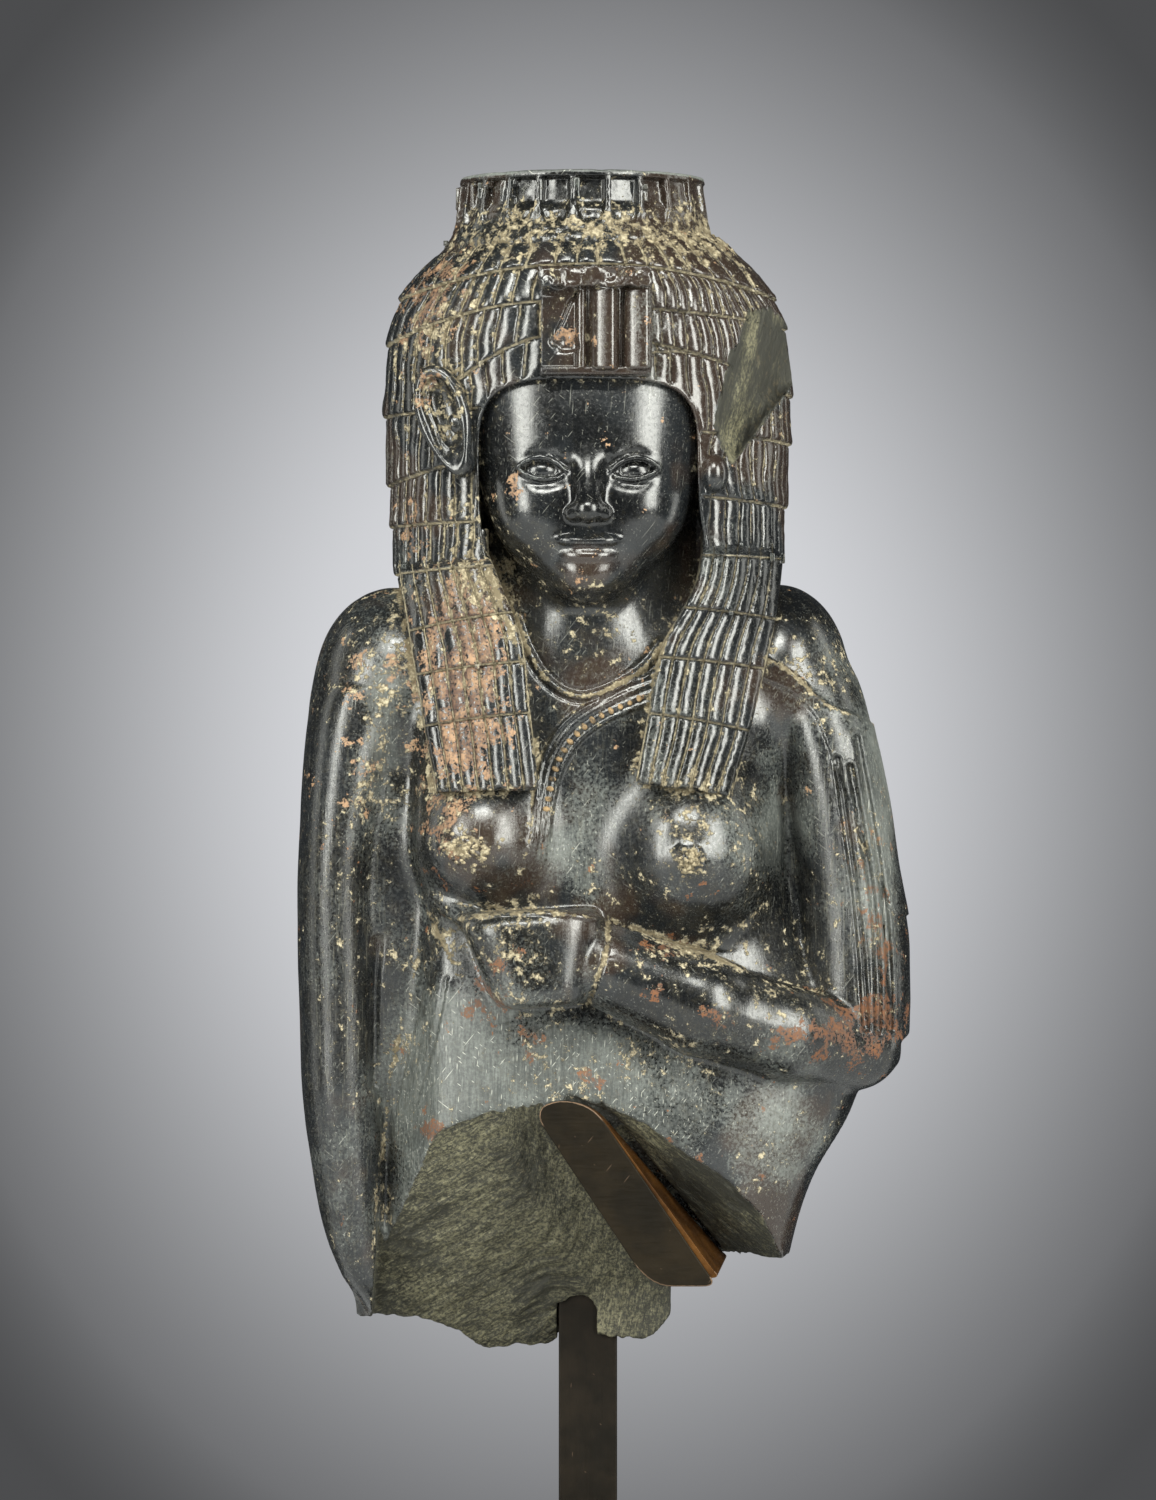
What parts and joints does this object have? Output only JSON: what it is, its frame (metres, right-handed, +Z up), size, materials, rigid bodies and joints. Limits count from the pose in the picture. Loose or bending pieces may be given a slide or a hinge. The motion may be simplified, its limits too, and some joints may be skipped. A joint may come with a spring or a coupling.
{
  "type": "statue fragment on a stand",
  "caption": "Upper part of a dark stone queen figure with a tiered wig and crown base, an arm bent across the waist, broken at the hips, on a bronze-coloured bar, bracket and foot.",
  "frame": {"origin": "middle of the foot plate's underside", "axes": "+Z up along the bar, the figure looks along -Y, +X to the right of a viewer who faces it"},
  "size_m": [0.2088, 0.15, 0.475],
  "materials": {
    "dark_stone": "satin",
    "brown_bronze": "satin"
  },
  "bodies": {
    "root": {"stone_figure": "dark_stone", "mount_bracket": "brown_bronze", "mount_rod": "brown_bronze", "mount_foot": "brown_bronze"}
  },
  "joints": []
}
